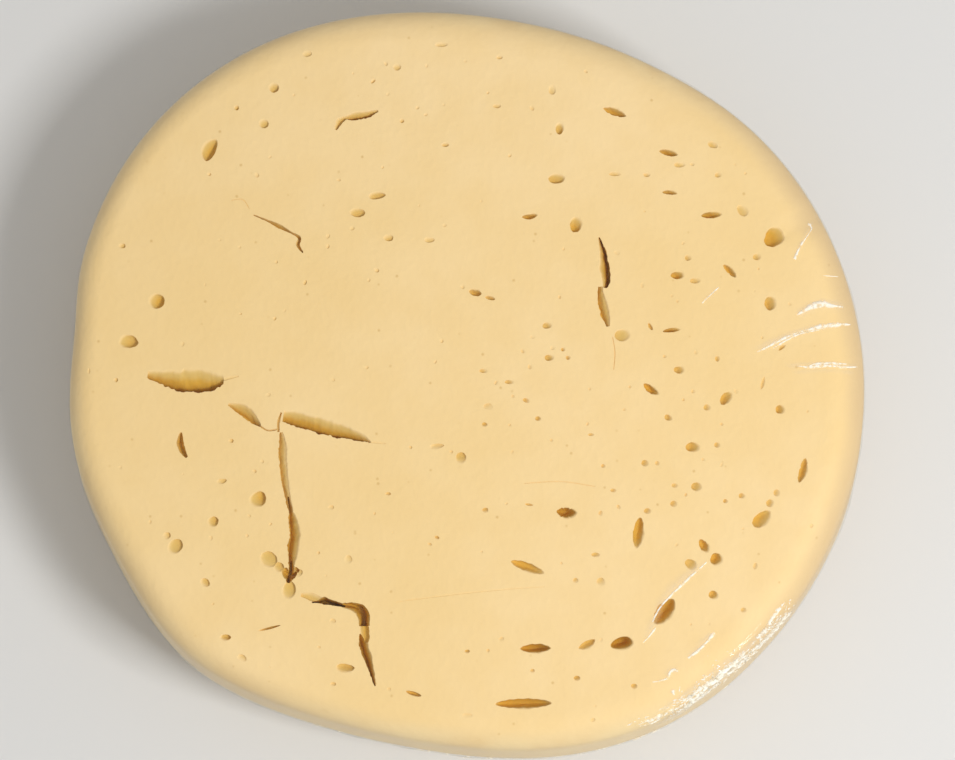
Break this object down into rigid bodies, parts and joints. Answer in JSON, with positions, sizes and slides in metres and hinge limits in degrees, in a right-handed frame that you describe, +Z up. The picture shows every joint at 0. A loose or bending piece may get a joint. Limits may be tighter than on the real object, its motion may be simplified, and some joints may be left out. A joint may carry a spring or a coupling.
{
  "type": "round of provolone cheese in clear film",
  "caption": "Thick round of pale provolone with small eyes and cracks in its cut face, wrapped tightly in clear film.",
  "frame": {"origin": "middle of the base, on the surface that the cheese stands on", "axes": "+Z up out of the cut face, +X along the round's longer side, +Y to its far side"},
  "size_m": [0.245, 0.2297, 0.0604],
  "materials": {
    "cheese": "pale yellow cheese paste, smooth and slightly waxy",
    "film": "clear glossy wrapping film with fine wrinkles"
  },
  "bodies": {
    "root": {"cheese": "cheese", "film": "film"}
  },
  "joints": []
}
